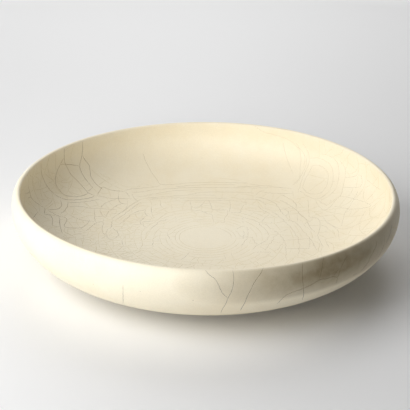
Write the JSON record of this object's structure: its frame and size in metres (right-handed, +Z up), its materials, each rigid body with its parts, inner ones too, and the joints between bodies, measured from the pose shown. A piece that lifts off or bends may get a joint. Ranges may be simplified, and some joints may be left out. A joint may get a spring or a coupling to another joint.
{
  "type": "ceramic dish",
  "caption": "Wide, low round dish with a rounded, drawn-in lip, a curved-in heel on a small foot ring, and a cream crackle coat over fired clay.",
  "frame": {"origin": "on the ground, at the centre of the foot ring", "axes": "+Z up along the dish's axis, out of its mouth; X and Y are alike, as the dish is round"},
  "size_m": [0.4, 0.4, 0.0775],
  "materials": {
    "bare_clay": "fired light buff clay, matt, faint turning marks",
    "crackle_coat": "satin cream crackle coat with fine grey-brown craze lines"
  },
  "bodies": {
    "root": {"clay_body": "bare_clay", "foot_ring": "bare_clay", "glaze_coat": "crackle_coat"}
  },
  "joints": []
}
